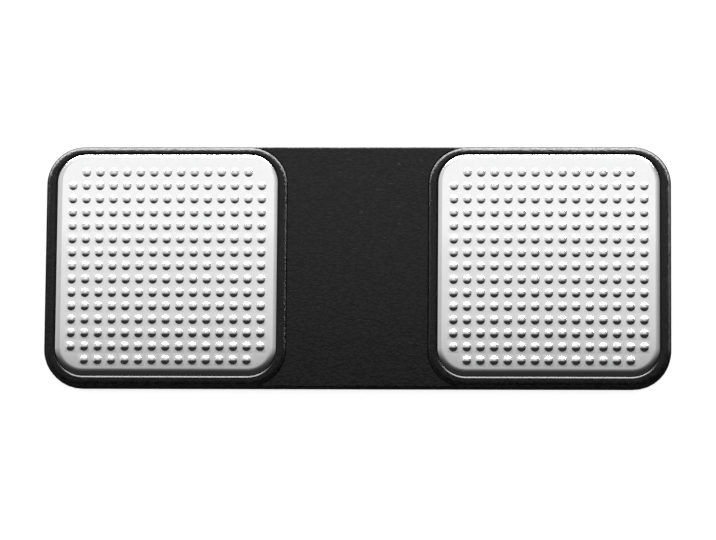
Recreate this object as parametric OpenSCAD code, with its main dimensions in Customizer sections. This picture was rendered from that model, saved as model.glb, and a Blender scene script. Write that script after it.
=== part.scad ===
// Pocket single-lead heart recorder: a slim plastic bar with two square pads of
// bumped stainless steel, a board and a coin cell inside, and a hinged battery
// door in its back. It lies on its back: +X is its length, +Z points out of the
// pads, and the origin is the middle of the back face.

/* [Body] */
// Length of the body
body_l = 82; // [80:0.5:100]
// Width of the body
body_w = 31.9; // [31:0.1:40]
// Radius of the body's corners, seen from the front
corner_r = 5; // [4:0.5:6.5]
// Radius of the shoulder that runs round the back and round the raised ends of the front
shoulder_r = 0.8; // [0.5:0.05:1]
// Radius of the middle panel's long edges
panel_edge_r = 0.25; // [0.1:0.05:0.4]
// Thickness of the side walls
side_wall = 1; // [0.9:0.05:1.2]
// Height of the parting line above the back face
parting_z = 1.4; // [1.2:0.05:1.5]
// Thickness of the back wall
back_t = 0.65; // [0.55:0.05:0.8]
// Thickness of the front wall over the coin cell
panel_t = 0.45; // [0.4:0.05:0.6]
// Height of the rims round the pads above the middle panel
rim_step = 0.25; // [0.1:0.05:0.3]

/* [Electrode pads] */
// Width of the rim between a pad and the end of the body
rim_end = 1.5; // [1.4:0.01:2]
// Mean width of the rims between a pad and the long sides of the body
rim_side = 1.35; // [1.1:0.05:2]
// Distance from the body's middle line up to the pads' middle; the bumps stay on that line
pad_y = 0.2; // [0:0.05:0.2]
// Width of the rim between a pad and the middle panel
rim_inner = 1.3; // [1:0.05:1.6]
// Gap between a pad's edge and the wall of its pocket
pad_gap = 0.12; // [0.08:0.01:0.2]
// Radius of the pads' corners
pad_corner_r = 3.7; // [3:0.1:4]
// Thickness of the stamped sheet
sheet_t = 0.3; // [0.2:0.05:0.35]
// Radius of the rolled edge of a pad
pad_roll_r = 0.9; // [0.7:0.05:1]
// Height of a pad's flat face above the rims
pad_proud = 0.1; // [0.05:0.05:0.4]
// Thickness of the adhesive sheet under a pad
bond_t = 0.2; // [0.15:0.05:0.3]
// Pitch of the bumps
bump_pitch = 1.776; // [1.6:0.001:2.2]
// Diameter of a bump at its foot
bump_d = 1.15; // [0.9:0.05:1.4]
// Height of a bump above the flat face
bump_h = 0.25; // [0.15:0.05:0.3]
// Least distance from a pad's edge to the middle of the outermost bumps
bump_margin = 1.9; // [1.6:0.1:2.5]

/* [Coin cell and battery door] */
// Diameter of the coin cell
cell_d = 20; // [20:0.5:24]
// Thickness of the coin cell
cell_h = 1.6; // [1.6:0.05:2]
// Gap between the coin cell and the wall of its well
cell_side_gap = 0.15; // [0.1:0.05:0.3]
// Gap between the coin cell and the door
cell_door_gap = 0.1; // [0.05:0.05:0.2]
// Distance from the coin cell's edge to the door's hinge axis
hinge_reach = 2.6; // [2.4:0.1:3]
// Distance from the coin cell's edge to the door's free edge
door_reach = 1.6; // [1.4:0.1:2.5]
// Distance that the door's sides stand out beyond the coin cell
door_side = 0.8; // [0.6:0.1:1.5]
// Depth of the door's outer face inside the back face
door_recess = 0.05; // [0.02:0.01:0.1]
// Gap round the door
door_gap = 0.1; // [0.08:0.01:0.2]
// Radius of the corners at the door's free end
door_corner_r = 1.2; // [0.5:0.1:2]
// Radius of the hinge pins
pin_r = 0.35; // [0.3:0.01:0.38]
// Length of a hinge pin
pin_len = 0.9; // [0.7:0.05:1.1]
// Running clearance of the hinge pins, on the radius
pin_clearance = 0.05; // [0.03:0.01:0.08]
// Width of the door's latch tongue
latch_w = 6; // [4:0.5:8]
// Length of the latch tongue
latch_l = 4.5; // [3:0.5:6]
// Radius of the finger scoop beside the latch
scoop_r = 3.2; // [2.5:0.1:4]
// Depth of the finger scoop
scoop_depth = 0.35; // [0.2:0.05:0.4]

/* [Circuit board] */
// Thickness of the circuit board
board_t = 0.6; // [0.4:0.05:0.7]
// Gap between the board's edge and the side walls
board_gap = 0.3; // [0.2:0.05:0.6]
// Clear height between the back wall and the board
board_lift = 0.8; // [0.65:0.05:0.95]
// Gap between the tallest part under the board and the back wall
part_gap = 0.1; // [0.05:0.05:0.2]
// Diameter of the pegs that locate the board
peg_d = 1.2; // [0.8:0.1:1.6]
// Clearance round a peg, on the radius
peg_clearance = 0.1; // [0.05:0.05:0.2]
// Diameter of the standoffs under the board
standoff_d = 2.6; // [2.2:0.1:3]
// Width of the contact springs' strip
spring_w = 1.6; // [1:0.1:2.2]
// Thickness of the contact springs' strip
strip_t = 0.1; // [0.06:0.01:0.12]

/* [Sounder] */
// Diameter of the sounder's brass disc
piezo_d = 15; // [12:0.5:16]
// Diameter of the ceramic on the disc
ceramic_d = 10.4; // [8:0.2:11]
// Thickness of the brass disc, and of the ceramic on it
piezo_t = 0.12; // [0.1:0.01:0.15]
// Thickness of the ring of glue under the disc
glue_t = 0.1; // [0.05:0.01:0.12]
// Diameter of the sounder's two leads
lead_d = 0.3; // [0.2:0.02:0.3]

/* [Hidden] */

// Heights, from the back face up.
cell_z = back_t + cell_door_gap;
cell_top_z = cell_z + cell_h;
contact_gap = 0.02;
ceiling_z = cell_top_z + contact_gap + strip_t;
panel_z = ceiling_z + panel_t;
rim_z = panel_z + rim_step;
pad_face_z = rim_z + pad_proud;
pad_under_z = pad_face_z - sheet_t;
pocket_z = pad_under_z - bond_t;
pad_skirt_z = pocket_z + 0.05;
board_z = back_t + board_lift;
board_top_z = board_z + board_t;
pocket_wall = 0.45;
side_ceiling_z = pocket_z - pocket_wall;
well_top_z = ceiling_z - 0.25;
lip_top_z = parting_z + 0.4;
lip_clearance = 0.05;
lip_inset = side_wall / 2 + lip_clearance;

// Places along the length and the width.
cell_r = cell_d / 2;
pocket_inner_x = cell_r + 0.45;
pad_inner_x = pocket_inner_x + pad_gap;
panel_half = pocket_inner_x - rim_inner;
pad_l = body_l / 2 - rim_end - pad_inner_x;
pad_w = body_w - 2 * rim_side;
pad_x = pad_inner_x + pad_l / 2;
spring_x = pad_inner_x + 6;
window_l = 4.6;
window_w = spring_w + 1;

// The door and its hinge. The axis runs along Y, level with the door's inner face.
door_t = back_t - door_recess;
hinge_x = -cell_r - hinge_reach;
hinge_z = back_t;
barrel_r = door_t;
barrel_half = cell_r - 0.5;
door_half = cell_r + door_side;
door_end_x = cell_r + door_reach;
door_wide_x = hinge_x + 1;
ear_reach = 0.6;
bore_r = pin_r + pin_clearance;
well_wall = 0.65;
well_x0 = hinge_x - barrel_r - door_gap - well_wall;
well_x1 = door_end_x + door_gap + well_wall;
well_half = door_half + door_gap + well_wall;
positive_slot_w = 4.2;

// The board, its pegs and what it carries.
board_l = body_l - 2 * (side_wall + board_gap);
board_w = body_w - 2 * (side_wall + board_gap);
peg_xs = [well_x1 + 4.2, body_l / 2 - 4.5];
peg_y = body_w / 2 - 4.2;
chip_x = pad_x;
tallest_h = board_lift - part_gap;
piezo_x = -pad_x - 2;
piezo_z = back_t + glue_t;
ceramic_z = piezo_z + piezo_t;
ceramic_top_z = ceramic_z + piezo_t;

// Places of the small parts on the board, from the middle of the chips' side, as [x, y].
capacitors = [[-6, 7.5], [-4, 7.5], [-2, 7.5], [-7, -1], [-7, -3], [4, 8], [4, -8], [6, -8], [8, -8]];
resistors = [[-4, -8], [-2, -8], [0, -8], [2, -8], [11, 2], [11, 4], [11, 6], [0, 8]];

// Shapes
skin = 0.01;
over = 0.5;
shell_steps = 5;
roll_steps = 6;

// A rounded rectangle, drawn flat.
module rounded(l, w, r) {
  square([l - 2 * r, w], center = true);
  square([l, w - 2 * r], center = true);
  for (sx = [-1, 1], sy = [-1, 1])
    translate([sx * (l / 2 - r), sy * (w / 2 - r)])
      circle(r = r, $fn = 32);
}

// A straight block with a rounded outline, from z0 up to z1.
module slab(l, w, r, z0, z1) {
  translate([0, 0, z0])
    linear_extrude(z1 - z0)
      rounded(l, w, r);
}

// A form of l by w with rounded corners, whose side follows the profile: [inset, height]
// points in order, from one flat face to the other.
module profiled(l, w, r, profile) {
  hull()
    for (sx = [-1, 1], sy = [-1, 1])
      translate([sx * (l / 2 - r), sy * (w / 2 - r), 0])
        rotate_extrude($fn = 32)
          polygon(concat([[0, profile[0][1]]], [for (p = profile) [r - p[0], p[1]]],
                         [[0, profile[len(profile) - 1][1]]]));
}

// A moulded form: straight from z_edge, then turned in by a shoulder up or down to z_face.
module shell_form(l, w, z_edge, z_face) {
  way = z_face > z_edge ? 1 : -1;
  profiled(l, w, corner_r, concat([[0, z_edge]], [
    for (i = [0 : shell_steps])
      let (turn = i * 90 / shell_steps)
        [shoulder_r * (1 - cos(turn)), z_face - way * shoulder_r * (1 - sin(turn))]
  ]));
}

// The middle of the front: full width, low, with tight long edges. Its ends draw in
// where they run under the raised ends' shoulders.
module middle_form() {
  reach = panel_half + corner_r;
  draw_in = shoulder_r;
  half = body_w / 2;
  intersection() {
    rotate([90, 0, 90])
      linear_extrude(2 * reach, center = true)
        polygon([for (side = [1, -1], i = [0 : shell_steps + 1])
          let (step = side > 0 ? i : shell_steps + 1 - i, turn = (step - 1) * 90 / shell_steps)
            step == 0 ? [side * half, parting_z]
              : [side * (half - panel_edge_r * (1 - cos(turn))), panel_z - panel_edge_r * (1 - sin(turn))]]);
    translate([0, 0, parting_z - over])
      linear_extrude(panel_z - parting_z + 2 * over)
        polygon([for (end = [[1, 1], [-1, 1], [-1, -1], [1, -1]], side = end[0] == end[1] ? [0, 1] : [1, 0])
                 [end[0] * (reach - (side == 1 ? draw_in : 0)), end[1] * (half - (side == 0 ? draw_in : 0))]]);
  }
}

// A pad's form without its bumps: flat on top, its edge rolled down to z_low.
module pad_form(inset, roll, z_low, z_face) {
  fall = min(z_face - z_low, roll);
  last = acos(1 - fall / roll);
  profiled(pad_l, pad_w, pad_corner_r, concat(
    z_face - z_low > roll ? [[inset, z_low]] : [],
    [for (i = [0 : roll_steps])
      let (turn = last - i * last / roll_steps)
        [inset + roll * (sin(last) - sin(turn)), z_face - roll * (1 - cos(turn))]]));
}

// The bumps, as whole balls whose tops stand out of the flat face.
module bumps() {
  columns = floor((pad_l - 2 * bump_margin) / bump_pitch) + 1;
  rows = floor((pad_w - 2 * bump_margin) / bump_pitch) + 1;
  ball_r = (pow(bump_d / 2, 2) + pow(bump_h, 2)) / (2 * bump_h);
  for (c = [0 : columns - 1], r = [0 : rows - 1]) {
    at_corner = (c == 0 || c == columns - 1) && (r == 0 || r == rows - 1);
    if (!at_corner)
      translate([(c - (columns - 1) / 2) * bump_pitch, (r - (rows - 1) / 2) * bump_pitch,
                 pad_face_z + bump_h - ball_r])
        sphere(r = ball_r, $fn = 24);
  }
}

module electrode(x) {
  color("silver")
    translate([x, pad_y, 0])
      difference() {
        union() {
          pad_form(0, pad_roll_r, pad_skirt_z, pad_face_z);
          translate([0, -pad_y, 0])
            bumps();
        }
        pad_form(sheet_t, pad_roll_r - sheet_t, pad_skirt_z - 2, pad_under_z);
      }
}

// The adhesive sheet under a pad, open where the contact spring comes through.
module electrode_bond(x, window_x) {
  reach = pad_roll_r + 0.05;
  color("dimgray")
    difference() {
      translate([x, pad_y, 0])
        slab(pad_l - 2 * reach, pad_w - 2 * reach, pad_corner_r - reach, pocket_z, pad_under_z);
      translate([window_x, 0, pocket_z])
        cube([window_l, window_w, 2 * bond_t + over], center = true);
    }
}

module strip(points, width) {
  r = strip_t / 2;
  for (i = [0 : len(points) - 2])
    hull()
      for (p = [points[i], points[i + 1]])
        translate([p[0], width / 2, p[1]])
          rotate([90, 0, 0])
            cylinder(r = r, h = width, $fn = 16);
}

// A leaf that is soldered to the board and doubles back up to the pad.
module contact_spring(x, side) {
  low = board_top_z + strip_t / 2;
  high = pad_under_z - strip_t / 2;
  color("goldenrod")
    translate([x, 0, 0])
      scale([side, 1, 1])
        strip([[-1.7, low], [1.5, low], [1.75, low + 0.25], [-1.1, high], [-1.8, high - 0.12]], spring_w);
}

module front_housing() {
  inner_l = body_l - 2 * side_wall;
  inner_w = body_w - 2 * side_wall;
  inner_r = corner_r - side_wall;
  rebate = side_wall / 2;
  low = parting_z - over;
  raised_l = body_l / 2 - panel_half;
  color([0.13, 0.13, 0.14])
    difference() {
      union() {
        middle_form();
        // The raised ends, one round each pad.
        for (side = [-1, 1])
          translate([side * (panel_half + raised_l / 2), 0, 0])
            shell_form(raised_l, body_w, parting_z, rim_z);
      }
      // The space inside: low under the pads, higher over the coin cell.
      slab(inner_l, inner_w, inner_r, low, side_ceiling_z);
      slab(2 * (cell_r + 0.2), inner_w, inner_r, low, ceiling_z);
      // The rebate that the rear cover's lip enters.
      slab(body_l - 2 * rebate, body_w - 2 * rebate, corner_r - rebate, low, lip_top_z + lip_clearance);
      for (side = [-1, 1]) {
        translate([side * pad_x, pad_y, 0])
          slab(pad_l + 2 * pad_gap, pad_w + 2 * pad_gap, pad_corner_r + pad_gap, pocket_z, rim_z + over);
        translate([side * spring_x, 0, pocket_z])
          cube([window_l, window_w, 4], center = true);
      }
    }
  // Collars that hold the board down round the pegs.
  color([0.13, 0.13, 0.14])
    for (sx = [-1, 1], sy = [-1, 1], x = peg_xs)
      translate([sx * x, sy * peg_y, board_top_z])
        difference() {
          cylinder(d = standoff_d, h = side_ceiling_z - board_top_z, $fn = 32);
          translate([0, 0, -over])
            cylinder(d = peg_d + 2 * peg_clearance, h = side_ceiling_z - board_top_z + 2 * over, $fn = 32);
        }
}

// The outline of the door's wide part from x0, grown by a gap: square at the hinge,
// round at its free end.
module door_outline(x0, gap) {
  half = door_half + gap;
  end = door_end_x + gap;
  r = door_corner_r + gap;
  translate([x0, -half])
    square([end - r - x0, 2 * half]);
  translate([x0, -half + r])
    square([end - x0, 2 * (half - r)]);
  for (side = [-1, 1])
    translate([end - r, side * (half - r)])
      circle(r = r, $fn = 32);
}

// The space that the door fills, with the gap round it, and the room its hinge turns in.
module door_space() {
  depth = back_t + door_gap / 2 + over;
  translate([0, 0, -over])
    linear_extrude(depth) {
      door_outline(hinge_x + ear_reach, door_gap);
      translate([hinge_x - barrel_r - door_gap, -barrel_half - door_gap / 2])
        square([door_wide_x - hinge_x + barrel_r + door_gap, 2 * barrel_half + door_gap]);
    }
  translate([hinge_x, 0, hinge_z])
    rotate([90, 0, 0])
      cylinder(r = barrel_r + door_gap, h = 2 * barrel_half + door_gap, center = true, $fn = 48);
}

module rear_cover() {
  inner_l = body_l - 2 * side_wall;
  inner_w = body_w - 2 * side_wall;
  inner_r = corner_r - side_wall;
  color([0.11, 0.11, 0.12])
    difference() {
      union() {
        difference() {
          union() {
            shell_form(body_l, body_w, parting_z, 0);
            slab(body_l - 2 * lip_inset, body_w - 2 * lip_inset, corner_r - lip_inset,
                 parting_z - over, lip_top_z);
          }
          slab(inner_l, inner_w, inner_r, back_t, lip_top_z + over);
        }
        // The walls of the coin cell's well.
        translate([well_x0, -well_half, back_t / 2])
          cube([well_x1 - well_x0, 2 * well_half, well_top_z - back_t / 2]);
        // Standoffs and pegs for the board.
        for (sx = [-1, 1], sy = [-1, 1], x = peg_xs)
          translate([sx * x, sy * peg_y, back_t / 2]) {
            cylinder(d = standoff_d, h = board_z - back_t / 2, $fn = 32);
            cylinder(d = peg_d, h = side_ceiling_z - 0.05 - back_t / 2, $fn = 32);
          }
      }
      door_space();
      translate([0, 0, -over])
        cylinder(r = cell_r + cell_side_gap, h = well_top_z + 2 * over, $fn = 96);
      // The bores of the hinge.
      translate([hinge_x, 0, hinge_z])
        rotate([90, 0, 0])
          cylinder(r = bore_r, h = 2 * (barrel_half + pin_len + 0.1), center = true, $fn = 32);
      // The slot that the positive contact stands in.
      translate([0, -positive_slot_w / 2, back_t + 0.35])
        cube([well_x1 + over, positive_slot_w, well_top_z]);
      // The finger scoop beside the latch.
      translate([door_end_x + 1.2, 0, -over])
        cylinder(r = scoop_r, h = scoop_depth + over, $fn = 48);
    }
}

module battery_door() {
  low = door_recess;
  slot_w = 0.4;
  color([0.11, 0.11, 0.12])
    difference() {
      union() {
        translate([0, 0, low])
          linear_extrude(door_t)
            door_outline(door_wide_x, 0);
        translate([hinge_x, -barrel_half, low])
          cube([door_wide_x - hinge_x + skin, 2 * barrel_half, door_t]);
        translate([hinge_x, 0, hinge_z])
          rotate([90, 0, 0]) {
            cylinder(r = barrel_r, h = 2 * barrel_half, center = true, $fn = 48);
            cylinder(r = pin_r, h = 2 * (barrel_half + pin_len), center = true, $fn = 32);
          }
      }
      // Two slots free the latch tongue from the rest of the door.
      for (side = [-1, 1])
        translate([door_end_x - latch_l, side * (latch_w / 2 + slot_w / 2) - slot_w / 2, -over])
          cube([latch_l + over, slot_w, door_t + 2 * over]);
      // The tongue's end is thinned so that a fingernail gets behind it.
      translate([door_end_x, 0, -over])
        cylinder(r = latch_w / 4, h = over + low + door_t / 2, $fn = 48);
    }
}

module circuit_board() {
  cut_gap = 0.3;
  cut_l = well_x1 - well_x0 + 2 * cut_gap;
  color("darkgreen")
    difference() {
      slab(board_l, board_w, corner_r - side_wall - board_gap, board_z, board_top_z);
      translate([(well_x0 + well_x1) / 2, 0, board_z])
        cube([cut_l, 2 * (well_half + cut_gap), 4 * board_t], center = true);
      for (sx = [-1, 1], sy = [-1, 1], x = peg_xs)
        translate([sx * x, sy * peg_y, board_z - over])
          cylinder(d = peg_d + 2 * peg_clearance, h = board_t + 2 * over, $fn = 32);
    }
}

// A small part soldered under the board, its middle at x, y from the chips' place.
module under_board(x, y, l, w, h) {
  translate([chip_x + x - l / 2, y - w / 2, board_z - h])
    cube([l, w, h]);
}

module microcontroller() {
  color([0.08, 0.08, 0.08])
    under_board(-1, 2, 5, 5, tallest_h - 0.05);
}

module amplifier_chip() {
  color([0.08, 0.08, 0.08])
    under_board(6.5, -2.5, 4, 4, tallest_h - 0.1);
}

module crystal() {
  color("silver")
    under_board(-1, -4, 3.2, 1.5, tallest_h - 0.1);
}

module boost_inductor() {
  color([0.25, 0.25, 0.27])
    under_board(6.5, 4, 3, 3, tallest_h);
}

module board_capacitors() {
  color("tan")
    for (place = capacitors)
      under_board(place[0], place[1], 1.6, 0.8, tallest_h - 0.2);
}

module board_resistors() {
  color([0.1, 0.1, 0.12])
    for (place = resistors)
      under_board(place[0], place[1], 1.6, 0.8, tallest_h - 0.35);
}

module disc(d, z, h) {
  translate([piezo_x, 0, z])
    cylinder(d = d, h = h, $fn = 64);
}

module piezo_disc() {
  color("gold")
    disc(piezo_d, piezo_z, piezo_t);
}

module piezo_ceramic() {
  color("whitesmoke")
    disc(ceramic_d, ceramic_z, piezo_t);
}

module piezo_glue_ring() {
  ring_w = 1.2;
  color("lightgray")
    difference() {
      disc(piezo_d, back_t, glue_t);
      disc(piezo_d - 2 * ring_w, back_t - over, glue_t + 2 * over);
    }
}

// A lead from the sounder: along X at height z, then a quarter turn up to the board.
module lead(x0, x1, y, z) {
  bend_r = board_z - z;
  translate([x0, y, z])
    rotate([0, 90, 0])
      cylinder(d = lead_d, h = x1 - bend_r - x0, $fn = 24);
  translate([x1 - bend_r, y, z + bend_r])
    rotate([-90, 0, 0])
      rotate_extrude(angle = 90, $fn = 48)
        translate([bend_r, 0])
          circle(d = lead_d, $fn = 24);
}

module piezo_signal_lead() {
  color("firebrick")
    lead(piezo_x, -spring_x - 0.5, -1, ceramic_top_z + lead_d / 2);
}

module piezo_ground_lead() {
  color([0.05, 0.05, 0.05])
    lead(piezo_x + ceramic_d / 2 + 0.4, -spring_x - 0.5, 1, ceramic_z + lead_d / 2);
}

// A leaf that stands beside the can and is soldered to the board.
module battery_positive_contact() {
  leaf_w = positive_slot_w - 0.6;
  leaf_x = cell_r + 0.05;
  foot_x = well_x1 + 2.2;
  color("goldenrod")
    translate([0, -leaf_w / 2, 0]) {
      translate([leaf_x, 0, cell_z + 0.35])
        cube([strip_t, leaf_w, board_top_z + strip_t - cell_z - 0.35]);
      translate([leaf_x, 0, board_top_z])
        cube([foot_x - leaf_x, leaf_w, strip_t]);
    }
}

// A leaf over the cap that runs across the well's wall and steps down to the board.
module battery_negative_contact() {
  leaf_w = 5;
  leaf_z = cell_top_z + contact_gap + strip_t / 2;
  foot_z = board_top_z + strip_t / 2;
  step_y = well_half + 0.3;
  color("goldenrod")
    rotate([0, 0, 90])
      strip([[5, leaf_z], [-step_y, leaf_z], [-step_y - 0.35, foot_z], [-board_w / 2 + 0.3, foot_z]], leaf_w);
}

// The coin cell's pieces, as rings of revolution from these heights and radii.
can_t = 0.25;
cap_t = 0.2;
seal_r = cell_r - can_t;
cap_r = cell_r - 0.85;
crimp = 0.1;
cap_fold = 0.35;

module turned(points) {
  translate([0, 0, cell_z])
    rotate_extrude($fn = 96)
      polygon(points);
}

module coin_cell_can() {
  color("silver")
    turned([[0, 0], [cell_r - can_t, 0], [cell_r, can_t], [cell_r, cell_h - 3 * crimp],
            [cell_r - 0.45, cell_h - crimp], [cap_r + can_t, cell_h - 2 * crimp],
            [seal_r, cell_h - 4 * crimp], [seal_r, can_t], [0, can_t]]);
}

module coin_cell_seal() {
  color("dimgray")
    turned([[seal_r, can_t], [seal_r, cell_h - 4 * crimp], [cap_r + can_t, cell_h - 2 * crimp],
            [cap_r, cell_h - 2 * crimp], [cap_r, can_t + cap_t], [cap_r - 0.5, can_t + cap_t],
            [cap_r - 0.5, can_t]]);
}

module coin_cell_cap() {
  color("lightgray")
    turned([[0, cell_h], [cap_r - cap_fold, cell_h], [cap_r, cell_h - cap_fold], [cap_r, can_t + cap_t],
            [cap_r - cap_t, can_t + cap_t], [cap_r - cap_t, cell_h - cap_fold - 0.05],
            [cap_r - cap_fold - 0.05, cell_h - cap_t], [0, cell_h - cap_t]]);
}

module coin_cell_core() {
  color([0.2, 0.2, 0.2])
    turned([[0, can_t], [cap_r - 0.5, can_t], [cap_r - 0.5, can_t + cap_t], [cap_r - cap_t, can_t + cap_t],
            [cap_r - cap_t, cell_h - cap_fold - 0.05], [cap_r - cap_fold - 0.05, cell_h - cap_t],
            [0, cell_h - cap_t]]);
}

front_housing();
rear_cover();
battery_door();
electrode(-pad_x);  // left_electrode
electrode(pad_x);  // right_electrode
electrode_bond(-pad_x, -spring_x);  // left_electrode_bond
electrode_bond(pad_x, spring_x);  // right_electrode_bond
contact_spring(-spring_x, -1);  // left_contact_spring
contact_spring(spring_x, 1);  // right_contact_spring
circuit_board();
microcontroller();
amplifier_chip();
crystal();
boost_inductor();
board_capacitors();
board_resistors();
piezo_disc();
piezo_ceramic();
piezo_glue_ring();
piezo_signal_lead();
piezo_ground_lead();
battery_positive_contact();
battery_negative_contact();
coin_cell_can();
coin_cell_cap();
coin_cell_seal();
coin_cell_core();
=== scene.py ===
# %% [markdown]
# # A pocket heart recorder
# The real thing is a slim moulded bar that lies in two hands. A finger of each hand
# rests on a square pad of bumped steel, and the bar between them has a fine leather
# grain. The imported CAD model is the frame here: it fixes every size and place, and
# this script gives each piece the surface that a maker would give it.

# %% Load the frame
import math

import bmesh
import bpy
from mathutils import Matrix, Vector


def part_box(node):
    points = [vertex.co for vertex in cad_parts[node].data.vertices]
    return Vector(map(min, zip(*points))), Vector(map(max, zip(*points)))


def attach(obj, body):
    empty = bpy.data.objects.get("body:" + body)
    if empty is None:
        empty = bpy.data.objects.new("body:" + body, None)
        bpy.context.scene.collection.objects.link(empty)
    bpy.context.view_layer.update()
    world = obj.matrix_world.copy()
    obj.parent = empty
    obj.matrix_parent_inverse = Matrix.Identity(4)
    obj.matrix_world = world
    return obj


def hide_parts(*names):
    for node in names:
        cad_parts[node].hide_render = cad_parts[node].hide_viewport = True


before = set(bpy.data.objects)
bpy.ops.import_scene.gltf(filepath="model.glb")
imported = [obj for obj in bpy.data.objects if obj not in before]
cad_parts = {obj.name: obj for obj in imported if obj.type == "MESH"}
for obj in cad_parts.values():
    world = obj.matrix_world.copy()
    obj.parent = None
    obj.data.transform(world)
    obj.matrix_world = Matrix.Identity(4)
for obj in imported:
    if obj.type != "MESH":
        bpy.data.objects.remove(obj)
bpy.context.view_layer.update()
scene = bpy.context.scene
scene.view_settings.view_transform = "Standard"
MM = 0.001

# %% [markdown]
# ## The camera
# The photograph was taken from almost straight above the pads, a little below the
# middle and a little to the right. A camera that looks along -Z needs only small
# turns for that, about X and about Y, and then steps back along its own view.

# %% Aim the camera
PHOTO_WIDTH = 716
FOCAL_PIXELS = 4589
SENSOR_MM = 36
DISTANCE = 600 * MM
AIM = Vector((0.11 * MM, -0.52 * MM, 3.3 * MM))
# degrees about X, Y and Z
TURNS = (9.0, 2.55, 0.47)
# the nearest and the farthest distance in metres that the camera sees
CLIP = (0.01, 100)

camera_data = bpy.data.cameras.new("camera")
camera_data.sensor_width = SENSOR_MM
camera_data.lens = FOCAL_PIXELS / PHOTO_WIDTH * SENSOR_MM
camera_data.clip_start, camera_data.clip_end = CLIP
camera = bpy.data.objects.new("camera", camera_data)
scene.collection.objects.link(camera)
camera.rotation_euler = [math.radians(turn) for turn in TURNS]
camera.location = AIM + camera.rotation_euler.to_matrix() @ Vector((0, 0, DISTANCE))
scene.camera = camera
print("camera at", [round(c, 4) for c in camera.location])

# %% [markdown]
# ## Small helpers for shaping
# Every moulded or stamped edge here is a rounded rectangle that steps inwards as it
# turns over. A plate with beveled corner points gives the outline once, and insetting
# its one face again and again gives the rest, so the corners stay true arcs.

# %% Helpers for plates and edges
def rounded_plate(bm, length, width, radius, z, corner_steps=16):
    """A face with round corners at height z, looking up."""
    corners = bmesh.ops.create_grid(bm, x_segments=1, y_segments=1, size=0.5)["verts"]
    bmesh.ops.scale(bm, vec=(length, width, 1), verts=corners)
    bmesh.ops.translate(bm, vec=(0, 0, z), verts=corners)
    made = bmesh.ops.bevel(bm, geom=corners, offset=radius, offset_type="OFFSET",
                           segments=corner_steps, profile=0.5, affect="VERTICES", material=-1)
    plate = max(made["verts"][0].link_faces, key=lambda face: face.calc_area())
    if plate.normal.z < 0:
        plate.normal_flip()
    return plate


def raise_wall(bm, face, height):
    """Pulls the face straight up, with a wall behind it."""
    face = bmesh.ops.extrude_discrete_faces(bm, faces=[face])["faces"][0]
    bmesh.ops.translate(bm, vec=(0, 0, height), verts=face.verts)
    return face


def step_in(bm, face, inset, rise):
    """Shrinks the face by inset inside a new ring of faces, and moves it up by rise."""
    bmesh.ops.inset_region(bm, faces=[face], thickness=inset, use_even_offset=True, use_boundary=True)
    bmesh.ops.translate(bm, vec=(0, 0, rise), verts=face.verts)
    return face


def turn_over(bm, face, radius, start, end, steps, way=1):
    """Carries the face round an arc that leans from start to end, in degrees from upright."""
    angles = [math.radians(start + (end - start) * i / steps) for i in range(steps + 1)]
    for before, after in zip(angles, angles[1:]):
        inset = radius * (math.cos(before) - math.cos(after))
        rise = radius * (math.sin(after) - math.sin(before))
        step_in(bm, face, inset, way * rise)
    return face


def lift_off(bm, face, radius, end, steps, way=1):
    """Carries a flat face's edge round an arc that starts flat and leans up to end degrees."""
    angles = [math.radians(end * i / steps) for i in range(steps + 1)]
    for before, after in zip(angles, angles[1:]):
        inset = radius * (math.sin(after) - math.sin(before))
        rise = radius * (math.cos(before) - math.cos(after))
        step_in(bm, face, inset, way * rise)
    return face


def as_object(name, bm):
    """Closes the bmesh into an object at the origin, its faces pointing outwards."""
    bmesh.ops.remove_doubles(bm, verts=bm.verts, dist=1e-7)
    bmesh.ops.recalc_face_normals(bm, faces=bm.faces)
    mesh = bpy.data.meshes.new(name)
    bm.to_mesh(mesh)
    bm.free()
    piece = bpy.data.objects.new(name, mesh)
    scene.collection.objects.link(piece)
    return piece


def smooth(piece, degrees=35):
    """Shades the piece smooth, apart from edges that turn by more than so many degrees."""
    piece.data.polygons.foreach_set("use_smooth", [True] * len(piece.data.polygons))
    piece.data.set_sharp_from_angle(angle=math.radians(degrees))


def even_out_normals(piece):
    """Keeps flat faces flat in shading, so that only the arcs beside them look round."""
    change = piece.modifiers.new("weighted normals", "WEIGHTED_NORMAL")
    change.keep_sharp = True


# %% [markdown]
# ## The pads
# A pad is a thin sheet of stainless steel. A press raises rows of small domes in it
# and rolls its edge down. Domes could be an array laid on the sheet, but then each
# would cut through it. Here one square tile with a dome in it is copied over the
# grid and merged, and the flat border is filled up to the rolled edge, so that the
# sheet is one skin. The grid has no dome in its corners.

# %% Sizes of a pad
pad_low, pad_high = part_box("left_electrode")
PAD_LENGTH, PAD_WIDTH = pad_high.x - pad_low.x, pad_high.y - pad_low.y
PAD_Y = (pad_low.y + pad_high.y) / 2
BUMP_HEIGHT = 0.25 * MM
BALL_RADIUS = 0.82 * MM
BUMP_FILLET = 0.08 * MM
BUMP_PITCH = 1.776 * MM
BUMP_MARGIN = 1.9 * MM
SHEET = 0.3 * MM
PAD_CORNER = 3.7 * MM
ROLL_RADIUS = 1.8 * MM
ROLL_START = 59
ROLL_STEPS = 8
LIP = 0.45 * MM
FACE_Z = pad_high.z - BUMP_HEIGHT
ROLL_RISE = ROLL_RADIUS * (1 - math.sin(math.radians(ROLL_START)))
COLUMNS = int((PAD_LENGTH - 2 * BUMP_MARGIN) / BUMP_PITCH) + 1
ROWS = int((PAD_WIDTH - 2 * BUMP_MARGIN) / BUMP_PITCH) + 1
print("pad", round(PAD_LENGTH / MM, 2), "x", round(PAD_WIDTH / MM, 2), "mm,",
      COLUMNS, "by", ROWS, "bumps")

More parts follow.
